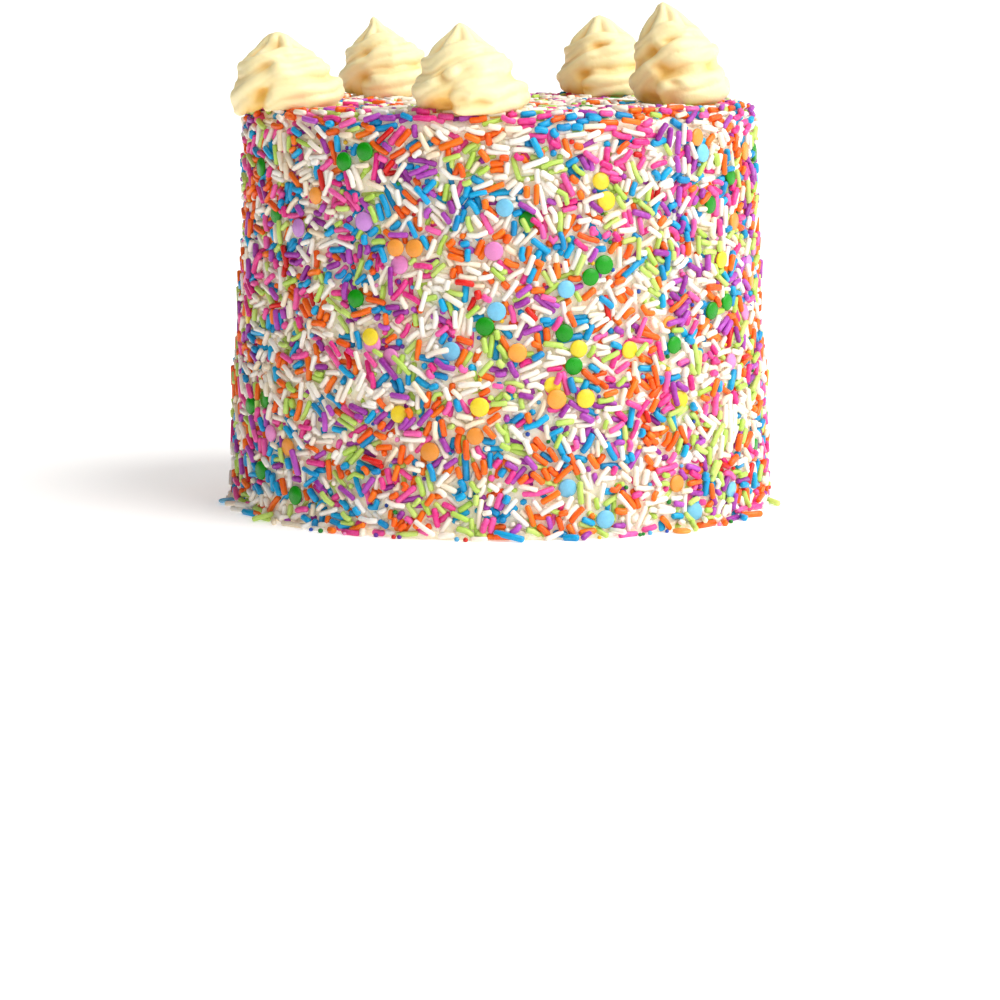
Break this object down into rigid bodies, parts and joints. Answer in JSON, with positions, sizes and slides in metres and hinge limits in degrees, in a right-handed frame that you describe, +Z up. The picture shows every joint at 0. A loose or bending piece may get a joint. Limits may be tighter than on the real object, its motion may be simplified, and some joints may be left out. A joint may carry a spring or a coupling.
{
  "type": "sprinkle cake",
  "caption": "Tall round layer cake with straight frosted sides, wholly coated in coloured sprinkles, topped with a ring of piped buttercream swirls.",
  "frame": {"origin": "centre of the flat base, on the surface the cake stands on", "axes": "+Z up through the middle of the cake; -Y is the side that faces the picture's camera, +X is to its right"},
  "size_m": [0.1642, 0.164, 0.1495],
  "materials": {
    "sprinkled_frosting": "soft cream-white frosting wholly coated in sugar sprinkles of many colours: white, orange, sky blue, pink, lime and purple rods, coloured discs and tiny balls, with a satin sugar gloss",
    "buttercream": "pale cream-yellow whipped buttercream, satin and slightly translucent"
  },
  "bodies": {
    "root": {"cake": "sprinkled_frosting", "swirl_left": "buttercream", "swirl_back_left": "buttercream", "swirl_front": "buttercream", "swirl_back_right": "buttercream", "swirl_right": "buttercream"}
  },
  "joints": []
}
